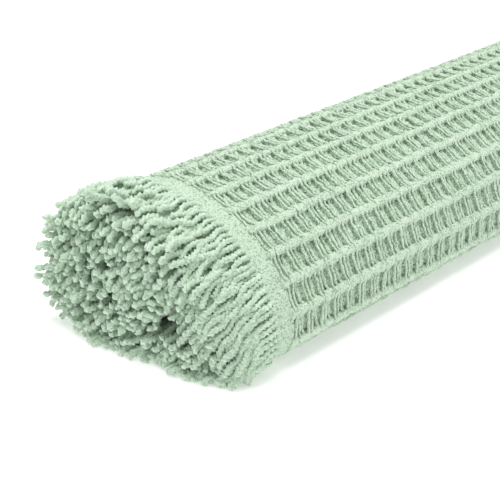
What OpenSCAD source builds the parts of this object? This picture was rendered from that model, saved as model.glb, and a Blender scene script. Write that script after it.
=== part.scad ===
// Woven cotton bath mat with fringed ends, rolled up across its width and lying on its side.
//
// The roll runs along X. The near fringe is at -X, the open front of the roll faces -Y, and the roll
// rests on z = 0. The origin is under the middle of the roll. The mat is one cloth: its free edge is
// tucked under the front, from where the cloth goes up the front, over the top and down the back,
// and winds inwards for three turns.

/* [Mat] */
// Number of ribs across the mat
rib_count = 40; // [36:1:40]
// Distance between two ribs, measured along the cloth
rib_pitch = 12.5; // [11:0.5:12.5]
// Length of the woven body along the roll, without the fringes
body_l = 800; // [600:10:1000]
// Thickness of the cloth with its ribs
thick = 10.4; // [8:0.1:10.4]
// Height of a rib above the ground cloth
rib_h = 3.2; // [2:0.1:4]
// Height of the float yarns above the ground cloth
float_h = 1.5; // [1:0.1:1.8]

/* [Ends] */
// Width of the plain woven band at each end
header_w = 13; // [8:1:20]
// Height of the plain band above the ground cloth
header_h = 1.8; // [1:0.1:2]
// Width of the twined row that locks the weave at each end
lock_w = 3; // [2:0.5:4]
// Height of the locking row above the ground cloth
lock_h = 2.8; // [2:0.1:3]
// Height of the selvedges above the ground cloth
selvedge_h = 1; // [0.5:0.1:1.5]
// Length of the fringe at each end
fringe_l = 30; // [20:1:40]
// Thickness of the fringe where it leaves the cloth
fringe_t = 9; // [6:0.5:9]

/* [Roll] */
// Width of the roll over its ribs
roll_w = 109; // [108:1:118]
// Height of the roll over its ribs
roll_h = 69.5; // [69:0.5:76]
// How far the highest point lies behind the middle of the roll
crown_y = 17.5; // [15:0.5:18]
// Radius of the lower front corner
corner = 18.5; // [17:0.5:19]
// Distance from one turn to the next
turn_pitch = 11; // [10.8:0.1:11]

/* [Hidden] */
STEPS = 6;                                // samples of the section for each rib
HALF_RIB = 1;                             // half the width of a rib's foot, in samples
EDGE = 2;                                 // width of a selvedge, in samples
FLAT = 60;                                // path units given to the flat stretch of a turn
LOOP = 360 + FLAT;                        // path units of one turn
FREE_EDGE = 0.716;                         // where on the flat stretch the cloth's free edge lies
CLIMB = [0, 0.75];                        // where the first turn climbs over the free edge
CLIMB_2 = [-0.4, 0.9];                    // where the second turn climbs over the first
LAST_RIBS = [22, 35, rib_count];          // the last rib of each turn
TURNS = ["outer", "middle", "inner"];
sage = [0.70, 0.84, 0.71];
pale_sage = [0.77, 0.89, 0.77];
deep_sage = [0.60, 0.76, 0.62];

mid = thick / 2;                          // depth of the cloth's middle below its rib tops
ground = mid - rib_h;                     // height of the ground cloth's face above that middle
core_r = mid + 0.3;                       // tightest bend of the middle
samples = rib_count * STEPS;
step = rib_pitch / STEPS;
field_l = body_l - 2 * (header_w + lock_w);

function smooth(a, b, x) = let(t = min(1, max(0, (x - a) / (b - a)))) t * t * (3 - 2 * t);

// Depth of the cloth's middle under the outline of the roll, g path units from the front floor line
function depth(g) =
    mid
    + turn_pitch * smooth(360 + FLAT * CLIMB[0], 360 + FLAT * CLIMB[1], g)
    + turn_pitch * smooth(LOOP + 360 + FLAT * CLIMB_2[0], LOOP + 360 + FLAT * CLIMB_2[1], g);

// The outline is a flat foot, a round lower front corner, a quarter of an ellipse up to the crown,
// and half an ellipse down the back. Each turn follows it at its own depth.
function bend(d) = max(corner - d, core_r);
function front_a(d) = crown_y + roll_w / 2 - d - bend(d);
function front_b(d) = roll_h - corner - d - bend(d);
function rise(d) = (d + bend(d) - corner) / front_b(d);
function front_y(d) = crown_y - front_a(d) * sqrt(1 - pow(rise(d), 2));
function corner_end(d) = 90 + atan2(rise(d) / front_b(d), sqrt(1 - pow(rise(d), 2)) / front_a(d));
function on_ellipse(a, b, n) = [a * a * n[0], b * b * n[1]] / norm([a * n[0], b * n[1]]);

// The centre that a turn bends round where its outward normal is n, u degrees from straight down
function centre(d, u, n) =
    u < corner_end(d) ? [front_y(d), d + bend(d)]
    : u < 180 ? [crown_y, corner] + on_ellipse(front_a(d), front_b(d), n)
    : [crown_y, roll_h / 2]
        + on_ellipse(roll_w / 2 - crown_y - d - bend(d), roll_h / 2 - d - bend(d), n);

// A point of a turn at depth d, u units along it, where the flat stretch that ends it runs to y = flat_to
function ring(d, u, flat_to) =
    u > 360 ? [crown_y + (flat_to - crown_y) * (u - 360) / FLAT, d]
    : let(n = [-sin(u), -cos(u)]) centre(d, u, n) + bend(d) * n;

// The middle of the cloth in the section, first along the path and then at equal steps of cloth
raw_from = -FLAT * (1 - FREE_EDGE);
raw_g = [for (g = raw_from; g < 3 * LOOP; g = g + 1) g];
raw = [for (g = raw_g)
    let(turn = floor(g / LOOP)) ring(depth(g), g - turn * LOOP, front_y(depth((turn + 1) * LOOP)))];
run = [for (i = 0, s = 0; i < len(raw);
            i = i + 1, s = i < len(raw) ? s + norm(raw[i] - raw[i - 1]) : s) s];

function before(s, low, high) =
    high - low < 2 ? low
    : let(m = floor((low + high) / 2)) run[m] <= s ? before(s, m, high) : before(s, low, m);
function at(s) =
    let(i = before(s, 0, len(run) - 1), t = (s - run[i]) / (run[i + 1] - run[i]))
    raw[i] + t * (raw[i + 1] - raw[i]);

middle = [for (i = [0 : samples]) at(i * step)];
function unit(v) = v / norm(v);
normals = [for (i = [0 : samples])
    let(t = unit(middle[min(i + 1, samples)] - middle[max(i - 1, 0)])) [-t[1], t[0]]];

// The point h above the middle of the cloth, at sample i, which may lie between two samples
function on_cloth(i, h) =
    let(k = min(floor(i), samples - 1), t = i - k)
    middle[k] + t * (middle[k + 1] - middle[k]) + h * unit(normals[k] + t * (normals[k + 1] - normals[k]));

// A strip of the section from sample a to sample b, between two heights above the middle
module strip(a, b, low, high) {
    polygon(concat(
        [for (i = [a : b]) on_cloth(i, high)],
        [for (i = [b : -1 : a]) on_cloth(i, low)]
    ));
}

// Runs a drawn section along the roll, from x = start over length l
module along(start, l) {
    multmatrix([[0, 0, 1, start], [1, 0, 0, 0], [0, 1, 0, 0], [0, 0, 0, 1]])
        linear_extrude(height = l) children();
}

function first_rib(turn) = turn == 0 ? 0 : LAST_RIBS[turn - 1];
function rib_at(k) = (k + 0.5) * STEPS;

module woven_field() {
    color(sage) along(-field_l / 2, field_l) strip(EDGE, samples - EDGE, -mid, ground);
}

// One rib of stuffed warp yarns, with a flat crown, standing on the ground cloth
module rib(k) {
    i = rib_at(k);
    color(pale_sage) along(-field_l / 2, field_l) polygon([
        on_cloth(i - HALF_RIB, ground),
        on_cloth(i - 0.7, ground + 0.75 * rib_h),
        on_cloth(i - 0.35, ground + rib_h),
        on_cloth(i + 0.35, ground + rib_h),
        on_cloth(i + 0.7, ground + 0.75 * rib_h),
        on_cloth(i + HALF_RIB, ground),
        on_cloth(i, ground)
    ]);
}

// The float yarns of one turn: a strip across each band between two ribs
module weft_floats(turn) {
    last = min(LAST_RIBS[turn], rib_count - 1);
    color(deep_sage) along(-field_l / 2, field_l)
        for (k = [first_rib(turn) : last - 1])
            strip(rib_at(k) + HALF_RIB, rib_at(k + 1) - HALF_RIB, ground, ground + float_h);
}

module selvedge(a, b) {
    color(sage) along(-field_l / 2, field_l) strip(a, b, -mid, ground + selvedge_h);
}

module header_band(side) {
    color(sage) along(side < 0 ? -field_l / 2 - header_w : field_l / 2, header_w)
        strip(0, samples, -mid, ground + header_h);
}

module lock_row(side) {
    from = field_l / 2 + header_w;
    color(pale_sage) along(side < 0 ? -from - lock_w : from, lock_w)
        strip(0, samples, -mid, ground + lock_h);
}

// The fringe of one turn at one end of the mat
module fringe(side, turn) {
    color(pale_sage) along(side < 0 ? -body_l / 2 - fringe_l : body_l / 2, fringe_l)
        strip(first_rib(turn) * STEPS, LAST_RIBS[turn] * STEPS, -fringe_t / 2, fringe_t / 2);
}

function rib_name(k) = str("rib_", k < 9 ? "0" : "", k + 1);

woven_field();
selvedge(0, EDGE);  // selvedge_outer
selvedge(samples - EDGE, samples);  // selvedge_inner
for (k = [0 : rib_count - 1])
    rib(k);
for (t = [0 : 2])
    weft_floats(t);
header_band(-1);  // header_band_near
header_band(1);  // header_band_far
lock_row(-1);  // lock_row_near
lock_row(1);  // lock_row_far
for (t = [0 : 2]) {
    fringe(-1, t);
    fringe(1, t);
}
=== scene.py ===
import math

import bpy
import numpy as np
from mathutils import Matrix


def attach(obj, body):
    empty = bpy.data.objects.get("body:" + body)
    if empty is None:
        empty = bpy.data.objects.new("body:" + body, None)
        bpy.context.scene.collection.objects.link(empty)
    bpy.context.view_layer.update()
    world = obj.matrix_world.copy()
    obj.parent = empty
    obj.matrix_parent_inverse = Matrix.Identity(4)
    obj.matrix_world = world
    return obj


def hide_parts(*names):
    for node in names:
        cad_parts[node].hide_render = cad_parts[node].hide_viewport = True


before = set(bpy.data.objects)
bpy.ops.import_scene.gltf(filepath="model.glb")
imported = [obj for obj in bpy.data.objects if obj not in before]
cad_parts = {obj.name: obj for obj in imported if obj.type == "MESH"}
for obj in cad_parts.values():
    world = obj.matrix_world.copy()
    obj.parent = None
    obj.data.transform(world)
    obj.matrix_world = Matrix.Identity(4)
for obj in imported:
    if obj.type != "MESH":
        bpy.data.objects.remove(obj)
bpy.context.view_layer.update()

# ---- Camera -------------------------------------------------------------------------------
# A short telephoto view down onto the near end of the roll, with the roll running away to the
# upper right.

LENS = 90
SENSOR = 36
CAMERA_PLACE = (-0.730, -0.357, 0.2858)
LOOKS_DOWN = 26.41
TURNED = -46.36

camera_data = bpy.data.cameras.new("camera")
camera_data.lens = LENS
camera_data.sensor_width = SENSOR
camera = bpy.data.objects.new("camera", camera_data)
camera.location = CAMERA_PLACE
camera.rotation_euler = (math.radians(90 - LOOKS_DOWN), 0, math.radians(TURNED))
bpy.context.scene.collection.objects.link(camera)
bpy.context.scene.camera = camera

# ---- Floor and light ----------------------------------------------------------------------
# A white sheet of card under a bright, even tent, with one large soft lamp hung above the near
# end of the roll.

FLOOR_HALF = 4.0
CARD_WHITE = (0.93, 0.93, 0.93, 1)
CARD_GLOW = 0.31
TENT_LIGHT = 0.64
LAMP_PLACE = (-0.35, 0.0, 1.3)
LAMP_SIDE = 0.8
LAMP_WATTS = 12.0

floor_mesh = bpy.data.meshes.new("floor")
floor_mesh.from_pydata(
    [(-FLOOR_HALF, -FLOOR_HALF, 0), (FLOOR_HALF, -FLOOR_HALF, 0),
     (FLOOR_HALF, FLOOR_HALF, 0), (-FLOOR_HALF, FLOOR_HALF, 0)],
    [], [(0, 1, 2, 3)],
)
floor = bpy.data.objects.new("floor", floor_mesh)
bpy.context.scene.collection.objects.link(floor)
card = bpy.data.materials.new("white_card")
card.use_nodes = True
card_shader = card.node_tree.nodes["Principled BSDF"]
card_shader.inputs["Base Color"].default_value = CARD_WHITE
card_shader.inputs["Roughness"].default_value = 0.9
card_shader.inputs["Specular IOR Level"].default_value = 0.1
card_shader.inputs["Emission Color"].default_value = (1, 1, 1, 1)
card_shader.inputs["Emission Strength"].default_value = CARD_GLOW
floor_mesh.materials.append(card)

world = bpy.data.worlds.new("tent")
world.use_nodes = True
world.node_tree.nodes["Background"].inputs["Color"].default_value = (1, 1, 1, 1)
world.node_tree.nodes["Background"].inputs["Strength"].default_value = TENT_LIGHT
bpy.context.scene.world = world
bpy.context.scene.view_settings.view_transform = "Standard"

lamp_data = bpy.data.lights.new("lamp", "AREA")
lamp_data.energy = LAMP_WATTS
lamp_data.size = LAMP_SIDE
lamp = bpy.data.objects.new("lamp", lamp_data)
lamp.location = LAMP_PLACE
lamp.rotation_euler = (-lamp.location).to_track_quat("-Z", "Y").to_euler()
bpy.context.scene.collection.objects.link(lamp)

# ---- Woven field --------------------------------------------------------------------------
# The ground cloth of the mat: one sheet of heavy cotton, woven flat and rolled up across its
# width. Every piece is first made flat on the loom, in millimetres: x runs along the roll,
# s across the cloth from its free edge, and h stands up from the middle of the cloth.

MM = 0.001
RIBS = 40
RIB_PITCH = 12.5
RIB_FOOT = 4.17
CLOTH_W = RIBS * RIB_PITCH
FIELD_HALF = 384.0        # half the length of the ribbed stretch
THICK = 10.4              # of the cloth, over its ribs
RIB_H = 3.2
MIDDLE = THICK / 2
GROUND = MIDDLE - RIB_H   # top of the ground cloth, above the cloth's middle
SELVEDGE_W = 4.17
REPEATS = 90              # pairs of float yarns along the mat
REPEAT = 2 * FIELD_HALF / REPEATS
TURN_RIBS = {"outer": (0, 22), "middle": (22, 35), "inner": (35, 40)}

ROLL_W = 109.0
ROLL_H = 69.5
CROWN_Y = 17.5            # the roll's section is highest here
CORNER = 18.5             # bend radius at the lower front
TURN_PITCH = 11.0         # how much deeper each turn lies than the one outside it
FLAT = 60                 # units of path for the flat run on the floor, after 360 for the bend
LOOP = 360 + FLAT
FREE_EDGE = 0.716         # share of the first flat run that the cloth covers
CLIMB = (0, 0.75)         # where the cloth climbs onto the turn below, in flat runs
CLIMB_2 = (-0.4, 0.9)
CORE_R = MIDDLE + 0.3     # the tightest bend
TURNS = 3


def smooth(a, b, x):
    """Nought up to a and one from b on, with an even climb between."""
    t = np.clip((x - a) / (b - a), 0, 1)
    return t * t * (3 - 2 * t)


def depth(g):
    """How far inside the roll's outline the middle of the cloth lies, g units along."""
    first = smooth(360 + FLAT * CLIMB[0], 360 + FLAT * CLIMB[1], g)
    second = smooth(LOOP + 360 + FLAT * CLIMB_2[0], LOOP + 360 + FLAT * CLIMB_2[1], g)
    return MIDDLE + TURN_PITCH * (first + second)


def front_corner(d):
    """Bend radius, half axes of the front's ellipse, and where it meets the lower corner."""
    bend = max(CORNER - d, CORE_R)
    a = CROWN_Y + ROLL_W / 2 - d - bend
    b = ROLL_H - CORNER - d - bend
    rise = (d + bend - CORNER) / b
    run = math.sqrt(1 - rise * rise)
    return bend, a, b, CROWN_Y - a * run, 90 + math.degrees(math.atan2(rise / b, run / a))


def on_ellipse(a, b, n):
    """The place on an ellipse with half axes a and b where n is the outward direction."""
    return np.array([a * a * n[0], b * b * n[1]]) / math.hypot(a * n[0], b * n[1])


def wound(g):
    """The middle of the cloth in the roll's section, g units along its path."""
    turn = math.floor(g / LOOP)
    u = g - turn * LOOP
    d = float(depth(g))
    bend, a, b, front_y, corner_end = front_corner(d)
    if u > 360:
        flat_to = front_corner(float(depth((turn + 1) * LOOP)))[3]
        return np.array([CROWN_Y + (flat_to - CROWN_Y) * (u - 360) / FLAT, d])
    n = np.array([-math.sin(math.radians(u)), -math.cos(math.radians(u))])
    if u < corner_end:
        return np.array([front_y, d + bend]) + bend * n
    if u < 180:
        return np.array([CROWN_Y, CORNER]) + on_ellipse(a, b, n) + bend * n
    half_w = ROLL_W / 2 - CROWN_Y - d - bend
    half_h = ROLL_H / 2 - d - bend
    return np.array([CROWN_Y, ROLL_H / 2]) + on_ellipse(half_w, half_h, n) + bend * n


UNIT_STEP = 0.5
PATH_STEP = 0.5
path_units = np.arange(-FLAT * (1 - FREE_EDGE), TURNS * LOOP, UNIT_STEP)
path = np.array([wound(g) for g in path_units])
run = np.concatenate([[0], np.cumsum(np.linalg.norm(np.diff(path, axis=0), axis=1))])
path_s = np.arange(0, CLOTH_W + 2 * PATH_STEP, PATH_STEP)
path_y = np.interp(path_s, run, path[:, 0])
path_z = np.interp(path_s, run, path[:, 1])
SPAN = 3      # steps that the directions are averaged over
tangent_y = np.convolve(np.gradient(path_y), np.ones(SPAN) / SPAN, "same")
tangent_z = np.convolve(np.gradient(path_z), np.ones(SPAN) / SPAN, "same")


def cloth_frame(s):
    """Places (y, z), tangents and outward normals of the rolled cloth's middle at s."""
    place = np.stack([np.interp(s, path_s, path_y), np.interp(s, path_s, path_z)], -1)
    tangent = np.stack([np.interp(s, path_s, tangent_y), np.interp(s, path_s, tangent_z)], -1)
    tangent /= np.linalg.norm(tangent, axis=-1, keepdims=True)
    return place, tangent, np.stack([-tangent[..., 1], tangent[..., 0]], -1)


def vertices(mesh):
    found = np.empty(len(mesh.vertices) * 3)
    mesh.vertices.foreach_get("co", found)
    return found.reshape(-1, 3)


def roll_up(piece):
    """Takes a flat piece off the loom and rolls it up, from millimetres to metres."""
    flat = vertices(piece.data)
    place, _, normal = cloth_frame(flat[:, 1])
    rolled = place + flat[:, 2:] * normal
    rolled[:, 1] = np.maximum(rolled[:, 1], 0)
    lay(piece, np.column_stack([flat[:, 0], rolled]) * MM)


def lay(piece, places):
    """Moves a piece's points to these places and shades it smooth."""
    piece.data.vertices.foreach_set("co", places.ravel())
    piece.data.polygons.foreach_set("use_smooth", [True] * len(piece.data.polygons))
    piece.data.update()


class Line:
    """A value in a node tree. Sums, products and powers of lines put down Math nodes."""

    def __init__(self, draft, socket):
        self.draft = draft
        self.socket = socket

    def __add__(self, other):
        return self.draft.math("ADD", self, other)

    def __sub__(self, other):
        return self.draft.math("SUBTRACT", self, other)

    def __mul__(self, other):
        return self.draft.math("MULTIPLY", self, other)

    def __truediv__(self, other):
        return self.draft.math("DIVIDE", self, other)

    def __pow__(self, other):
        return self.draft.math("POWER", self, other)

    def __rsub__(self, other):
        return self.draft.math("SUBTRACT", other, self)

    __radd__ = __add__
    __rmul__ = __mul__

    def split(self):
        parts = self.draft.add("ShaderNodeSeparateXYZ", values={0: self}).socket.node.outputs
        return [Line(self.draft, part) for part in parts]


class Draft:
    """A node tree being drawn up. add() puts one node down, sets it and joins it."""

    def __init__(self, tree):
        self.tree = tree

    def add(self, kind, settings=None, values=None, output=0):
        node = self.tree.nodes.new(kind)
        for name, value in (settings or {}).items():
            setattr(node, name, value)
        for name, value in (values or {}).items():
            if isinstance(value, Line):
                self.tree.links.new(value.socket, node.inputs[name])
            else:
                node.inputs[name].default_value = value
        return Line(self, node.outputs[output]) if len(node.outputs) else None

    def math(self, operation, *values):
        return self.add("ShaderNodeMath", {"operation": operation}, dict(enumerate(values)))

    def vector(self, x, y, z):
        return self.add("ShaderNodeCombineXYZ", values={0: x, 1: y, 2: z})


COLOUR_A = 6          # places of the colour sockets on a Mix node
COLOUR_B = 7
COLOUR_OUT = 2
SPECK_DEEPEST = 0.37  # noise level at which a speck takes its full painted shade
SPECK_SHADE = 0.95
PATCH_SCALE = 60.0    # per metre
PATCH_SHADE = 0.5
FUZZ = 0.001


def cotton(name, dye, painted_shade_colour, grain, cover, relief, sheen):
    """Soft matt cotton yarn: a piece-dyed colour that is uneven from yarn to yarn, painted shade in
    dark specks between the fibres, and a fine fuzzy relief. grain is the size of a speck in metres,
    and the specks of painted shade spread as cover rises."""
    material = bpy.data.materials.new(name)
    material.use_nodes = True
    draft = Draft(material.node_tree)
    shader = material.node_tree.nodes["Principled BSDF"]
    place = draft.add("ShaderNodeTexCoord", output="Object")
    solid = {"noise_dimensions": "3D"}
    specks = draft.add("ShaderNodeTexNoise", solid, {
        "Vector": place, "Scale": 1 / grain, "Detail": 2.0, "Roughness": 0.6})
    patches = draft.add("ShaderNodeTexNoise", solid, {
        "Vector": place, "Scale": PATCH_SCALE, "Detail": 1.0})
    # Painted shade: the low points of the speck noise are mixed toward the dark shade colour.
    painted_fibre_shade = draft.add("ShaderNodeMapRange", {"clamp": True}, {
        "Value": specks, "From Min": cover, "From Max": SPECK_DEEPEST,
        "To Min": 0.0, "To Max": 1.0})
    # Painted shade between the fibres, plus real tone that drifts from yarn to yarn.
    shade = painted_fibre_shade * SPECK_SHADE + (patches - 0.5) * PATCH_SHADE
    colour = draft.add("ShaderNodeMix", {"data_type": "RGBA", "clamp_factor": True}, {
        "Factor": shade, COLOUR_A: (*dye, 1), COLOUR_B: (*painted_shade_colour, 1)}, output=COLOUR_OUT)
    draft.tree.links.new(colour.socket, shader.inputs["Base Color"])
    bump = draft.add("ShaderNodeBump", values={
        "Height": specks, "Strength": relief, "Distance": FUZZ})
    draft.tree.links.new(bump.socket, shader.inputs["Normal"])
    shader.inputs["Roughness"].default_value = 0.95
    shader.inputs["Specular IOR Level"].default_value = 0.15
    shader.inputs["Sheen Weight"].default_value = sheen
    shader.inputs["Sheen Roughness"].default_value = 0.6
    return material


def slab(name, x_lines, s_lines, top, low, material):
    """A closed strip of cloth on the loom: a worked upper face over a plain lower one."""
    columns = len(x_lines)
    rows = len(s_lines)
    x, s = np.meshgrid(x_lines, s_lines, indexing="ij")
    upper = np.stack([x, s, top], -1).reshape(-1, 3)
    lower = [(end, row, low) for end in (x_lines[0], x_lines[-1]) for row in s_lines]
    up = np.arange(columns * rows).reshape(columns, rows)
    left = up.size + np.arange(rows)
    right = left + rows
    corners = [up[:-1, :-1], up[1:, :-1], up[1:, 1:], up[:-1, 1:]]
    faces = np.stack(corners, -1).reshape(-1, 4).tolist()
    for j in range(rows - 1):
        faces.append([left[j], left[j + 1], right[j + 1], right[j]])
        faces.append([left[j], up[0, j], up[0, j + 1], left[j + 1]])
        faces.append([right[j], right[j + 1], up[-1, j + 1], up[-1, j]])
    faces.append([left[0], right[0], *up[::-1, 0]])
    faces.append([right[-1], left[-1], *up[:, -1]])
    mesh = bpy.data.meshes.new(name)
    mesh.from_pydata(np.concatenate([upper, lower]), [], faces)
    mesh.materials.append(material)
    piece = bpy.data.objects.new(name, mesh)
    bpy.context.scene.collection.objects.link(piece)
    return piece


def mount(piece, slot, *nodes):
    """Puts a finished piece in the frame in place of its plain CAD nodes."""
    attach(piece, "root")
    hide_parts(*nodes)


GROUND_LINES = 5      # rows of mesh in a band that is seen
HIDDEN_LINES = 2
REPEAT_LINES = 5      # lines of mesh in one repeat of the weave
CRINKLE = 0.3
PIT = 0.8             # depth of the hollow beside each pair of floats
PIT_FROM = 0.48       # where it starts and how long it is, in repeats
PIT_LENGTH = 0.52
PIT_LEAN = 0.7
SLIT = 0.7            # depth of the gap between the two floats of a pair
SLIT_FROM = 0.15
SLIT_LENGTH = 0.25
EDGE_RISE = 1.4       # the ground's ends rise to meet the header bands
WEAVE_SEED = 11

# The ground's specks are the darkest: painted shade where the ground shows, down in the pits and
# slits.
ground_cotton = cotton(
    "ground_cotton", dye=(0.76, 0.91, 0.75), painted_shade_colour=(0.17, 0.31, 0.17),
    grain=0.0011, cover=0.56, relief=1.0, sheen=0.2)

rng = np.random.default_rng(WEAVE_SEED)
field_x = np.linspace(-FIELD_HALF, FIELD_HALF, REPEATS * REPEAT_LINES + 1)
band_half = (RIB_PITCH - RIB_FOOT) / 2
field_s = [SELVEDGE_W]
for band in range(RIBS):
    middle_s = band * RIB_PITCH
    lines = GROUND_LINES if band <= TURN_RIBS["outer"][1] else HIDDEN_LINES
    field_s += list(np.linspace(middle_s - band_half, middle_s + band_half, lines + 1))
field_s = [s for s in field_s if SELVEDGE_W <= s < CLOTH_W - SELVEDGE_W]
field_s = np.array(field_s + [CLOTH_W - SELVEDGE_W])
grid_x, grid_s = np.meshgrid(field_x, field_s, indexing="ij")
across_repeat = (grid_x + FIELD_HALF) % REPEAT / REPEAT
pits = np.sin(math.pi * np.clip((across_repeat - PIT_FROM) / PIT_LENGTH, 0, 1) ** PIT_LEAN)
slits = np.sin(math.pi * np.clip((across_repeat - SLIT_FROM) / SLIT_LENGTH, 0, 1))
in_band = np.clip(1 - np.abs((grid_s + band_half) % RIB_PITCH - band_half) / band_half, 0, 1)
field_top = GROUND + rng.normal(0, CRINKLE, grid_x.shape) - (PIT * pits + SLIT * slits) * in_band
field_top[[0, -1]] = GROUND + EDGE_RISE
woven_field = slab("ground_cloth", field_x, field_s, field_top, -MIDDLE, ground_cotton)
roll_up(woven_field)
mount(woven_field, "ground_cotton", "woven_field")

# ---- Ribs ---------------------------------------------------------------------------------
# Forty cords of stuffed warp yarn that run from one header band to the other and stand up from
# the ground cloth, woven in with it. Their crowns are what a foot treads on and the roll lies on.


def drawing(name, sizes):
    """A Geometry Nodes tree that has these named sizes as inputs."""
    tree = bpy.data.node_groups.new(name, "GeometryNodeTree")
    for size, value in sizes.items():
        kind = "NodeSocketInt" if isinstance(value, int) else "NodeSocketFloat"
        tree.interface.new_socket(size, in_out="INPUT", socket_type=kind)
    tree.interface.new_socket("Geometry", in_out="OUTPUT", socket_type="NodeSocketGeometry")
    draft = Draft(tree)
    entry = tree.nodes.new("NodeGroupInput")
    return draft, {size: Line(draft, entry.outputs[size]) for size in sizes}


def close_drawing(draft, geometry, material):
    """Ends a tree: real geometry only, in its material."""
    real = draft.add("GeometryNodeRealizeInstances", values={0: geometry})
    dressed = draft.add("GeometryNodeSetMaterial", values={
        "Geometry": real, "Material": material})
    draft.add("NodeGroupOutput", values={0: dressed})


def woven(name, draft, sizes):
    """Runs a tree with these sizes and returns what it makes as a plain mesh object."""
    piece = bpy.data.objects.new(name, bpy.data.meshes.new(name))
    bpy.context.scene.collection.objects.link(piece)
    maker = piece.modifiers.new("maker", "NODES")
    maker.node_group = draft.tree
    for item in draft.tree.interface.items_tree:
        if item.in_out == "INPUT":
            maker[item.identifier] = sizes[item.name]
    depsgraph = bpy.context.evaluated_depsgraph_get()
    mesh = bpy.data.meshes.new_from_object(
        piece.evaluated_get(depsgraph), preserve_all_data_layers=True, depsgraph=depsgraph)
    piece.modifiers.remove(maker)
    piece.data = mesh
    return piece


def put(draft, geometry, place):
    """Moves the points of a shape in a tree to this place."""
    return draft.add("GeometryNodeSetPosition", values={"Geometry": geometry, "Position": place})


def bar(draft, sides, steps):
    """A closed bar of unit radius and unit length, and its three coordinates."""
    tube = draft.add("GeometryNodeMeshCylinder", {"fill_type": "NGON"}, {
        "Vertices": sides, "Side Segments": steps, "Radius": 1.0, "Depth": 1.0})
    return tube, *draft.add("GeometryNodeInputPosition").split()


def noise(draft, place, seed, scale=1.0, detail=1.0, output=0):
    """A level from 0 to 1, or with output="Color" three of them, that drifts from place to place."""
    return draft.add("ShaderNodeTexNoise", {"noise_dimensions": "4D"}, {
        "Vector": place, "W": seed, "Scale": scale, "Detail": detail}, output)


RIB_OVERRUN = 3       # how much longer a rib is than the field, to end inside the headers
RIB_SINK = 1.0        # how far its foot goes into the ground cloth
RIB_SETTLE = 0.2
RIB_WANDER = 1.3
WANDER_SCALE = 0.03   # per millimetre, as are LUMP_SCALE and SWELL_SCALE
RIB_LUMP = 2.6
LUMP_SCALE = 0.75
LUMP_ROUND = 2.0      # how fast lumps change around a rib
RIB_SWELL = 0.5
SWELL_SCALE = 0.16
SWELL_LANE = 7.0      # keeps the swelling apart from the wandering
SHOULDER = 0.25       # fullness of the rib's sides
CROWN_ROUND = 0.6     # under 1, the crown is flatter than a circle's
SEEN_RIB = {"Height": RIB_H, "Sides": 10, "Steps": 640}
HIDDEN_RIB = {"Height": RIB_H - 0.3, "Sides": 6, "Steps": 96}
RIB_SEED = 3.7
rib_cotton = cotton(
    "rib_cotton", dye=(0.68, 0.83, 0.66), painted_shade_colour=(0.32, 0.47, 0.32),
    grain=0.0009, cover=0.48, relief=1.0, sheen=0.25)

rib_sizes = {"Middle": 0.0, **SEEN_RIB, "Seed": 1.0}
draft, size = drawing("stuffed_rib", rib_sizes)
tube, side, up, along = bar(draft, size["Sides"], size["Steps"])
x = along * (2 * FIELD_HALF + RIB_OVERRUN)
wander = noise(draft, draft.vector(x, 0.0, 0.0), size["Seed"], WANDER_SCALE) - 0.5
around = draft.vector(x, side * LUMP_ROUND, up * LUMP_ROUND)
lump = noise(draft, around, size["Seed"], LUMP_SCALE, detail=2.0) - 0.5
swell = noise(draft, draft.vector(x, SWELL_LANE, 0.0), size["Seed"], SWELL_SCALE) - 0.5
full = side * (1 + SHOULDER - side * side * SHOULDER)
half = full * (RIB_FOOT / 2) * (1.0 + swell * RIB_SWELL)
rounded = (up * 0.5 + 0.5) ** CROWN_ROUND
height = GROUND - RIB_SINK + (size["Height"] + RIB_SINK) * rounded
place = draft.vector(
    x,
    size["Middle"] + half + wander * RIB_WANDER + lump * side * RIB_LUMP,
    height + lump * RIB_LUMP * rounded - RIB_SETTLE)
close_drawing(draft, put(draft, tube, place), rib_cotton)

for k in range(RIBS):
    rib = woven(f"rib_cord_{k + 1:02d}", draft, {
        **(SEEN_RIB if k < TURN_RIBS["outer"][1] else HIDDEN_RIB),
        "Middle": (k + 0.5) * RIB_PITCH,
        "Seed": RIB_SEED * k,
    })
    roll_up(rib)
    mount(rib, "rib_cotton", f"rib_{k + 1:02d}")

# ---- Weft floats --------------------------------------------------------------------------
# Weft yarns that lie free over the band between two ribs, in pairs: a tight one and a softer,
# lower one. A third, wide and slack one lies down in the pit between the pairs. Their ends
# climb onto the ribs and narrow as they dive in.

FLOAT_L = RIB_PITCH - 0.3
RISE_FROM = 0.23      # where the ends climb and narrow, in float lengths from the middle
RISE_TO = 0.42
NARROW_FROM = 0.36
NARROW_TO = 0.5
FLOAT_HALF = 0.5      # half of the width, in the middle and at the ends
END_HALF = 0.12
JITTER_SCALE = 3.3    # far above one float's spacing, so each has its own luck
FLOAT_SHIFT = 1.8
FLOAT_LIFT = 0.8
FLOAT_TURN = 0.6
KINK_SCALE = 0.55
KINK_SEED = 9.0
KINK = (2.6, 0.3, 1.4)
SEEN_FLOAT = {"Sides": 5, "Steps": 8}
HIDDEN_FLOAT = {"Sides": 3, "Steps": 4}
float_yarn = cotton(
    "float_yarn", dye=(0.70, 0.86, 0.68), painted_shade_colour=(0.32, 0.48, 0.32),
    grain=0.0008, cover=0.48, relief=1.0, sheen=0.25)

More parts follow.
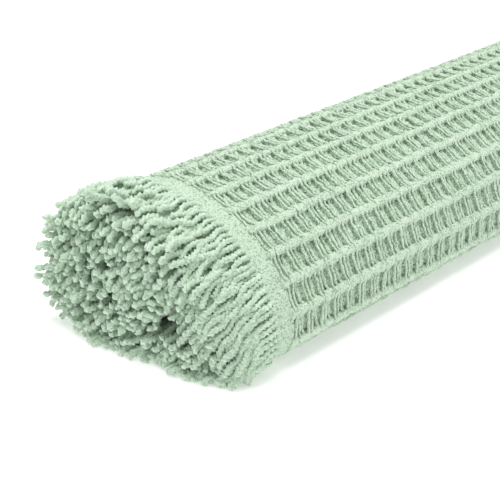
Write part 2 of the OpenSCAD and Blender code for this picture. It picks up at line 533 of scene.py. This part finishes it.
float_sizes = {"First Band": 1, "Bands": 22, "Offset": 1.0, "Width": 1.3, "Thick": 1.3,
               "Height": 1.0, "Climb": 0.8, **SEEN_FLOAT, "Seed": 5.0}
draft, size = drawing("float_row", float_sizes)
tube, side, up, along = bar(draft, size["Sides"], size["Steps"])
smoothstep = {"interpolation_type": "SMOOTHSTEP"}
from_middle = draft.math("ABSOLUTE", along)
climb = draft.add("ShaderNodeMapRange", smoothstep, {
    "Value": from_middle, "From Min": RISE_FROM, "From Max": RISE_TO,
    "To Min": 0.0, "To Max": size["Climb"]})
taper = draft.add("ShaderNodeMapRange", smoothstep, {
    "Value": from_middle, "From Min": NARROW_FROM, "From Max": NARROW_TO,
    "To Min": FLOAT_HALF, "To Max": END_HALF})
one_float = put(draft, tube, draft.vector(
    side * size["Width"] * taper,
    along * (-FLOAT_L),
    up * size["Thick"] * taper + climb))
grid = draft.add("GeometryNodeMeshGrid", values={
    "Size X": REPEAT * (REPEATS - 1), "Size Y": (size["Bands"] - 1) * RIB_PITCH,
    "Vertices X": REPEATS, "Vertices Y": size["Bands"]})
points = draft.add("GeometryNodeMeshToPoints", values={"Mesh": grid})
spots = draft.add("GeometryNodeSetPosition", values={
    "Geometry": points,
    "Offset": draft.vector(
        size["Offset"] - REPEAT / 2,
        (size["First Band"] * 1.0 + (size["Bands"] - 1) * 0.5) * RIB_PITCH,
        GROUND + size["Height"])})
place = draft.add("GeometryNodeInputPosition")
jitter = noise(draft, place, size["Seed"], JITTER_SCALE, output="Color")
jitter_x, jitter_y, jitter_z = jitter.split()
spots = draft.add("GeometryNodeSetPosition", values={
    "Geometry": spots,
    "Offset": draft.vector((jitter_x - 0.5) * FLOAT_SHIFT, 0.0, (jitter_y - 0.5) * FLOAT_LIFT)})
row = draft.add("GeometryNodeInstanceOnPoints", values={
    "Points": spots, "Instance": one_float,
    "Rotation": draft.vector(0.0, 0.0, (jitter_z - 0.5) * FLOAT_TURN)})
real = draft.add("GeometryNodeRealizeInstances", values={0: row})
place = draft.add("GeometryNodeInputPosition")
kinks = noise(draft, place, size["Seed"] + KINK_SEED, KINK_SCALE, output="Color")
kink_x, kink_y, kink_z = kinks.split()
lumps = draft.add("GeometryNodeSetPosition", values={
    "Geometry": real,
    "Offset": draft.vector(
        (kink_x - 0.5) * KINK[0], (kink_y - 0.5) * KINK[1], (kink_z - 0.5) * KINK[2])})
close_drawing(draft, lumps, float_yarn)

FLOAT_KINDS = {
    "tight": {"Offset": 0.9, "Width": 1.3, "Thick": 1.5, "Height": 1.9, "Climb": 1.0},
    "soft": {"Offset": 3.4, "Width": 1.4, "Thick": 1.5, "Height": 1.6, "Climb": 1.3},
    "low": {"Offset": 7.0, "Width": 2.4, "Thick": 1.3, "Height": 0.1, "Climb": 1.8},
}
floats = []
for turn, (first, last) in TURN_RIBS.items():
    for kind, shape in FLOAT_KINDS.items():
        piece = woven(f"floats_{turn}_{kind}", draft, {
            **shape,
            **(SEEN_FLOAT if turn == "outer" else HIDDEN_FLOAT),
            "First Band": first + 1,
            "Bands": min(last, RIBS - 1) - first,
            "Seed": float(len(floats)),
        })
        roll_up(piece)
        mount(piece, "float_yarn", f"weft_floats_{turn}")
        floats.append(piece)

# ---- Selvedges ----------------------------------------------------------------------------
# The two long edges of the cloth, where the weft turns back. Each is a close, flat strip. One
# lies tucked under the front of the roll, the other at its core.

EDGE_H = 0.7          # above the ground cloth
EDGE_LOOP = 2.4       # from one turn of the weft to the next
EDGE_WAVE = 0.25
EDGE_CRINKLE = 0.08
EDGE_LINES = (641, 5)
for name, edge in (("selvedge_outer", 0), ("selvedge_inner", CLOTH_W - SELVEDGE_W)):
    edge_x = np.linspace(-FIELD_HALF, FIELD_HALF, EDGE_LINES[0])
    edge_s = np.linspace(edge, edge + SELVEDGE_W, EDGE_LINES[1])
    grid_x, grid_s = np.meshgrid(edge_x, edge_s, indexing="ij")
    wave = EDGE_WAVE * np.sin(grid_x * 2 * math.pi / EDGE_LOOP)
    edge_top = GROUND + EDGE_H + (wave + rng.normal(0, EDGE_CRINKLE, grid_x.shape))
    selvedge = slab(f"{name}_cloth", edge_x, edge_s, edge_top, -MIDDLE, ground_cotton)
    roll_up(selvedge)
    mount(selvedge, "ground_cotton", name)

# ---- Header bands -------------------------------------------------------------------------
# A plain, close-woven band at each end of the field, where the ribs and floats stop. It is the
# same cotton as the ground cloth, and looks paler because its yarns lie closer: its own material
# paints fewer, lighter specks of shade between them.

HEADER_W = 13.0
HEADER_H = 1.8        # above the ground cloth
PICK = 1.5            # from one yarn to the next
HEADER_WEAVE = 0.22
HEADER_CRINKLE = 0.10
HEADER_LINES = (17, 601)
# Its own copy of the ground's cotton, with fewer and lighter specks: less painted shade.
header_cotton = cotton(
    "header_cotton", dye=(0.66, 0.81, 0.64), painted_shade_colour=(0.28, 0.44, 0.29),
    grain=0.0009, cover=0.49, relief=1.0, sheen=0.2)
for name, side in (("header_band_near", -1), ("header_band_far", 1)):
    share = np.linspace(min(side, 0), max(side, 0), HEADER_LINES[0])
    band_x = side * FIELD_HALF + share * HEADER_W
    band_s = np.linspace(0, CLOTH_W, HEADER_LINES[1])
    grid_x, grid_s = np.meshgrid(band_x, band_s, indexing="ij")
    weave = np.sin(grid_x * math.pi / PICK) * np.sin(grid_s * math.pi / PICK)
    relief = HEADER_WEAVE * weave + rng.normal(0, HEADER_CRINKLE, grid_x.shape)
    header_top = GROUND + HEADER_H + relief
    header = slab(f"{name}_cloth", band_x, band_s, header_top, -MIDDLE, header_cotton)
    roll_up(header)
    mount(header, "ground_cotton", name)

# ---- Lock rows ----------------------------------------------------------------------------
# A twined row at each end, whose stitches wrap the edge of the cloth and hold the weft in. The
# fringe comes out through it.

LOCK_X = 398.2
LOCK_PITCH = 2.8
STITCHES = 178
STITCH_HALF = (2.0, 1.45, 4.0)    # half its length, width and height
STITCH_LEAN = 0.5
STITCH_SHIFT = 1.2
STITCH_LIFT = 0.5
STITCH_SCALE = 3.1
lock_yarn = cotton(
    "lock_yarn", dye=(0.70, 0.86, 0.69), painted_shade_colour=(0.20, 0.36, 0.21),
    grain=0.0009, cover=0.49, relief=0.7, sheen=0.25)

lock_sizes = {"Side": 1.0, "Stitches": STITCHES, "Seed": 2.0}
draft, size = drawing("twined_row", lock_sizes)
ball = draft.add("GeometryNodeMeshIcoSphere", values={"Radius": 1.0, "Subdivisions": 2})
x, s, h = draft.add("GeometryNodeInputPosition").split()
stitch = put(draft, ball, draft.vector(
    x * STITCH_HALF[0] + s * STITCH_LEAN, s * STITCH_HALF[1], h * STITCH_HALF[2]))
line = draft.add("GeometryNodeMeshLine", values={
    "Count": size["Stitches"],
    "Start Location": (0.0, LOCK_PITCH / 2, 0.0), "Offset": (0.0, LOCK_PITCH, 0.0)})
place = draft.add("GeometryNodeInputPosition")
luck = noise(draft, place, size["Seed"], STITCH_SCALE, output="Color")
luck_x, luck_y, _ = luck.split()
spots = draft.add("GeometryNodeSetPosition", values={
    "Geometry": line,
    "Offset": draft.vector(
        size["Side"] * LOCK_X + (luck_x - 0.5) * STITCH_SHIFT, 0.0, (luck_y - 0.5) * STITCH_LIFT)})
row = draft.add("GeometryNodeInstanceOnPoints", values={"Points": spots, "Instance": stitch})
close_drawing(draft, row, lock_yarn)

for name, side in (("lock_row_near", -1.0), ("lock_row_far", 1.0)):
    lock = woven(f"{name}_stitches", draft, {
        "Side": side, "Stitches": STITCHES, "Seed": 4.0 + side})
    roll_up(lock)
    mount(lock, "lock_yarn", name)

# ---- Fringes ------------------------------------------------------------------------------
# The ends of the warp, left long beyond the lock row: nearly seven hundred two-ply cords at each
# end, in four rows through the thickness of the cloth, cut blunt. The two upper rows are cut
# shorter where they show, over the crown and front. All fan out from the spiral, and hang.

STRAND_L = 36.0
STRAND_ROOT = 394.5   # where a strand starts, inside the header band
STRAND_R = 1.4
STRAND_SIDES = 6
STRAND_STEP = 0.9     # between rings, short enough to show the two plies
RING_CROWD = 1.25     # over 1, the rings are closer at the tip
PLY_TWIST = 2.7       # radians per millimetre, twice round for the two plies
PLY_BULGE = 0.4
ROOT_GIRTH = 0.9
TIP_GIRTH = 0.2       # what the tip has more than the root
BLUNT_L = 1.3         # length over which a tip is rounded off
BLUNT_LEAST = 0.4
ROOT_SHIFT = 0.6
FATE_SEED = 50.0
# Height above the cloth's middle, pitch, stagger in pitches, and share of the full length.
ROWS = (
    (4.2, 2.8, 0.0, 0.60),
    (2.0, 2.9, 0.5, 0.85),
    (-0.4, 3.0, 0.2, 1.0),
    (-2.8, 3.1, 0.7, 1.0),
)
fringe_yarn = cotton(
    "fringe_yarn", dye=(0.70, 0.86, 0.69), painted_shade_colour=(0.46, 0.64, 0.46),
    grain=0.0010, cover=0.56, relief=0.5, sheen=0.3)

fringe_sizes = {"From": 0.0, "To": 275.0, "Height": 0.0, "Pitch": 2.8, "Stagger": 0.0,
                "Length": STRAND_L, "Sides": STRAND_SIDES, "Steps": 40, "Seed": 1.0}
draft, size = drawing("fringe_row", fringe_sizes)
tube, side, up, along = bar(draft, size["Sides"], size["Steps"])
t = 1.0 - (0.5 - along) ** RING_CROWD
reach = t * size["Length"]
tip = draft.add("ShaderNodeClamp", values={"Value": (reach - size["Length"] + BLUNT_L) / BLUNT_L})
blunt = draft.add("ShaderNodeClamp", values={
    "Value": (1.0 - tip * tip) ** 0.5, "Min": BLUNT_LEAST})
angle = draft.math("ARCTAN2", up, side)
two_ply = draft.math("COSINE", angle * 2.0 - reach * PLY_TWIST)
girth = STRAND_R * blunt * (1.0 + two_ply * PLY_BULGE) * (ROOT_GIRTH + t * TIP_GIRTH)
strand = put(draft, tube, draft.vector(side * girth, up * girth, t))
count = (size["To"] - size["From"]) / size["Pitch"]
first_root = draft.vector(0.0, size["From"] + size["Stagger"], size["Height"])
line = draft.add("GeometryNodeMeshLine", values={
    "Count": count, "Start Location": first_root,
    "Offset": draft.vector(0.0, size["Pitch"], 0.0)})
luck = draft.add("FunctionNodeRandomValue", {"data_type": "FLOAT_VECTOR"}, {
    0: (-1.0, -1.0, -1.0), 1: (1.0, 1.0, 1.0), "Seed": size["Seed"] * 1.0})
luck_x, luck_y, luck_z = luck.split()
line = draft.add("GeometryNodeSetPosition", values={
    "Geometry": line, "Offset": draft.vector(0.0, luck_x * ROOT_SHIFT, luck_y * ROOT_SHIFT)})
points = draft.add("GeometryNodeMeshToPoints", values={"Mesh": line})
store = {"data_type": "FLOAT_VECTOR", "domain": "POINT"}
points = draft.add("GeometryNodeStoreNamedAttribute", store, {
    "Geometry": points, "Name": "root", "Value": draft.add("GeometryNodeInputPosition")})
fate = draft.add("FunctionNodeRandomValue", {"data_type": "FLOAT_VECTOR"}, {
    0: (-1.0, -1.0, -1.0), 1: (1.0, 1.0, 1.0), "Seed": size["Seed"] * 1.0 + FATE_SEED})
points = draft.add("GeometryNodeStoreNamedAttribute", store, {
    "Geometry": points, "Name": "luck", "Value": fate})
row = draft.add("GeometryNodeInstanceOnPoints", values={
    "Points": points, "Instance": strand,
    "Rotation": draft.vector(0.0, 0.0, luck_z * math.pi)})
close_drawing(draft, row, fringe_yarn)


def read(mesh, name):
    """A vector attribute of a mesh's points, as an array."""
    found = np.empty(len(mesh.vertices) * 3)
    mesh.attributes[name].data.foreach_get("vector", found)
    return found.reshape(-1, 3)


HEIGHTS = (ROWS[-1][0], ROWS[0][0])
CORE = np.array([4.0, 33.0])
CORE_REACH = 5.0
SAG = {"outer": 3.5, "middle": 3.0, "inner": 1.0}
FRONT_SAG = {"outer": 20.0, "middle": 8.0, "inner": 0.0}
SAG_FROM = 6.0              # above the floor, where sagging starts and over what rise it grows
SAG_RISE = 20.0
DROOP = (0.55, 1.0)         # share of the front's sag that the lowest and highest rows have
FLARE = {"outer": 1.0, "middle": 0.2, "inner": 0.0}
BACK_FLARE = 2.5
CROWN_FLARE = 10.0
CROWN_BACK = 1.4            # how fast the crown's flare dies away towards the back
LOW_FLARE = 5.0
LOW_FROM = 0.3
FILL = {"outer": 0.0, "middle": 2.0, "inner": 7.0}
FRONT_IN = 6.5              # how far the front's tips swing in over the end of the roll
STRAY = 2.7
FRONT_STRAY_LESS = (0.4, 0.6)


def natural_tips(start, tangent, normal, height, luck, share, turn):
    """Where each strand's tip would come by its weight, by the roll's flare and by chance."""
    front = np.clip(-normal[:, 0], 0, 1)
    crown = np.clip(normal[:, 1], 0, 1) ** 2 * np.clip(1 - CROWN_BACK * normal[:, 0], 0, 1)
    low = np.clip(LOW_FROM - normal[:, 1], 0, 1)
    above = np.clip((start[:, 1] - SAG_FROM) / SAG_RISE, 0, 1)
    inward = CORE - start
    inward /= np.maximum(np.linalg.norm(inward, axis=1, keepdims=True), CORE_REACH)
    droop = np.interp(height, HEIGHTS, DROOP)
    sag = (SAG[turn] * above + FRONT_SAG[turn] * front * droop) * share
    flare = BACK_FLARE + CROWN_FLARE * crown + LOW_FLARE * low
    flare *= FLARE[turn] * (1 - front) * share
    tips = start + sag[:, None] * np.array([0.0, -1.0]) + flare[:, None] * normal
    tips += FILL[turn] * inward
    tips[:, 0] += FLARE[turn] * FRONT_IN * front
    sideways = luck[:, 0] * (1 - FRONT_STRAY_LESS[0] * front)
    outward = luck[:, 1] * (1 - FRONT_STRAY_LESS[1] * front)
    return tips + STRAY * (sideways[:, None] * tangent + outward[:, None] * normal)


ROOM = 5.6                  # tips closer than this push each other apart
EASE = 0.45
HOLD = 0.03
EASINGS = 80
NOT_ITSELF = 99             # keeps a tip from pushing on itself


def settle(natural, loose):
    """Eases loose tips apart until they fill the end of the roll, each tied to its own place."""
    tips = natural.copy()
    for _ in range(EASINGS):
        gap = tips[:, None] - tips[None]
        far = np.linalg.norm(gap, axis=2) + NOT_ITSELF * np.eye(len(tips))
        push = np.clip(1 - far / ROOM, 0, 1) / far
        step = EASE * np.sum(gap * push[:, :, None], axis=1) + HOLD * (natural - tips)
        tips += step * loose[:, None]
        tips[:, 1] = np.maximum(tips[:, 1], STRAND_R)
    return tips


FULL_OUT = 37.0             # how far out along the roll the tips at the back come
FULL_Y = 36.0               # tips in front of this come less far out
FRONT_LESS = 13.5
FRONT_RUN = 80.5
FRONT_ROUND = 1.9
LOW_LESS = 0.2              # low tips at the front come less far out
LOW_Z = 20.0
BACK_LESS = 0.25            # at the back, so do tips well above or below the middle
BACK_MIDDLE = 30.0
BACK_FULL = 12.0
BACK_Y = 30.0
BACK_RUN = 20.0
UNEVEN = 0.10
LEAST_FALL = 0.05
CURL = 1.1
CURL_L = 0.55
PUFF = 3.2                  # the upper rows arch up this much on the crown
PUFF_ROUND = 0.8


def hang(piece, side, strand, tips, share):
    """Bends each strand of a fringe as one arc from its root to its tip, clear of the floor."""
    root = read(piece.data, "root")
    luck = read(piece.data, "luck")
    local = vertices(piece.data) - root
    t = local[:, 2]
    place, tangent, normal = cloth_frame(root[:, 1])
    start = place + root[:, 2:] * normal
    around = local[:, :1] * tangent + local[:, 1:2] * normal
    pull = tips[strand] - start
    fall = np.maximum(np.linalg.norm(pull, axis=1), LEAST_FALL)
    toward = pull / fall[:, None]
    end_y, end_z = tips[strand].T
    frontness = np.maximum(FULL_Y - end_y, 0) / FRONT_RUN
    out = FULL_OUT - FRONT_LESS * frontness ** FRONT_ROUND
    out -= LOW_LESS * np.maximum(LOW_Z - end_z, 0) * np.clip(-normal[:, 0], 0, 1)
    off_middle = np.maximum(np.abs(end_z - BACK_MIDDLE) - BACK_FULL, 0)
    out -= BACK_LESS * off_middle * np.clip((end_y - BACK_Y) / BACK_RUN, 0, 1)
    out *= share[strand] * (1 + UNEVEN * (luck[:, 2] - 0.5))
    bend = 2 * np.arctan(fall / out) * t
    radius = (out * out + fall * fall) / (2 * fall)
    phase = 2 * math.pi * (t / CURL_L + luck[:, 2])
    curl = (CURL * t)[:, None]
    centre = start + (radius * (1 - np.cos(bend)))[:, None] * toward
    puff = PUFF * np.clip(normal[:, 1], 0, 1) * np.interp(root[:, 2], HEIGHTS, (0, 1))
    centre += (puff * np.sin(math.pi * t ** PUFF_ROUND))[:, None] * normal
    centre += curl * (np.sin(phase)[:, None] * tangent + np.cos(phase)[:, None] * normal)
    centre[:, 1] = np.maximum(centre[:, 1], STRAND_R)
    lean = np.sum(around * toward, axis=1)
    section = centre + around + (lean * (np.cos(bend) - 1))[:, None] * toward
    section[:, 1] = np.maximum(section[:, 1], 0)
    x = side * (STRAND_ROOT + radius * np.sin(bend) - lean * np.sin(bend))
    lay(piece, np.column_stack([x, section]) * MM)


FIRST_STRAND = 1.5


def row_of_strands(name, turn, row, seed):
    """One row of straight strands for one turn of the cloth, still on the loom."""
    height, pitch, stagger, share = row
    first, last = TURN_RIBS[turn]
    return woven(name, draft, {
        "From": first * RIB_PITCH + FIRST_STRAND, "To": last * RIB_PITCH, "Height": height,
        "Pitch": pitch, "Stagger": stagger * pitch, "Length": STRAND_L * share,
        "Sides": STRAND_SIDES, "Steps": round(STRAND_L * share / STRAND_STEP), "Seed": seed})


TURN_SEED = 7.0
STRAND_SEED = 21
# The short strands of the upper rows make a thatch over the crown and the upper front. It is
# full on the crown, fades down the front, and stays where it falls: only full strands are loose.
THATCH_FRONT = 0.8
THATCH_END = 1.2
FULL_SHARE = 0.95
FRONT_FACING = 0.4
FRONT_HEIGHT = 1

row_height = np.array([row[0] for row in ROWS])
row_share = np.array([row[3] for row in ROWS])
fringes = []
for end, side in (("near", -1), ("far", 1)):
    natural = []
    shares = []
    loose = []
    gathered = []
    for turn in TURN_RIBS:
        seed = TURN_SEED * len(fringes) + STRAND_SEED * len(natural)
        rows = [row_of_strands(f"row_{i}", turn, row, seed + i) for i, row in enumerate(ROWS)]
        with bpy.context.temp_override(
                active_object=rows[0], selected_editable_objects=rows, object=rows[0]):
            bpy.ops.object.join()
        piece = rows[0]
        piece.name = f"fringe_cords_{end}_{turn}"
        strands = np.column_stack([read(piece.data, "root"), read(piece.data, "luck")])
        each, strand = np.unique(strands.round(4), axis=0, return_inverse=True)
        place, tangent, normal = cloth_frame(each[:, 1])
        start = place + each[:, 2:3] * normal
        share = row_share[np.abs(each[:, 2:3] - row_height).argmin(axis=1)]
        facing = -normal[:, 0]
        thatch = np.clip(normal[:, 1] + THATCH_FRONT * np.maximum(facing, 0), 0, 1)
        thatch *= np.clip(1 + THATCH_END * facing, 0, 1) * (turn == "outer")
        share = 1 - (1 - share) * thatch
        inside = (facing < FRONT_FACING) | (each[:, 2] < FRONT_HEIGHT)
        loose.append((share > FULL_SHARE) & inside)
        gathered.append((piece, turn, strand.ravel() + sum(len(n) for n in natural)))
        natural.append(natural_tips(start, tangent, normal, each[:, 2], each[:, 3:], share, turn))
        shares.append(share)
    tips = settle(np.concatenate(natural), np.concatenate(loose))
    for piece, turn, strand in gathered:
        hang(piece, side, strand, tips, np.concatenate(shares))
        mount(piece, "fringe_yarn", f"fringe_{end}_{turn}")
        fringes.append(piece)
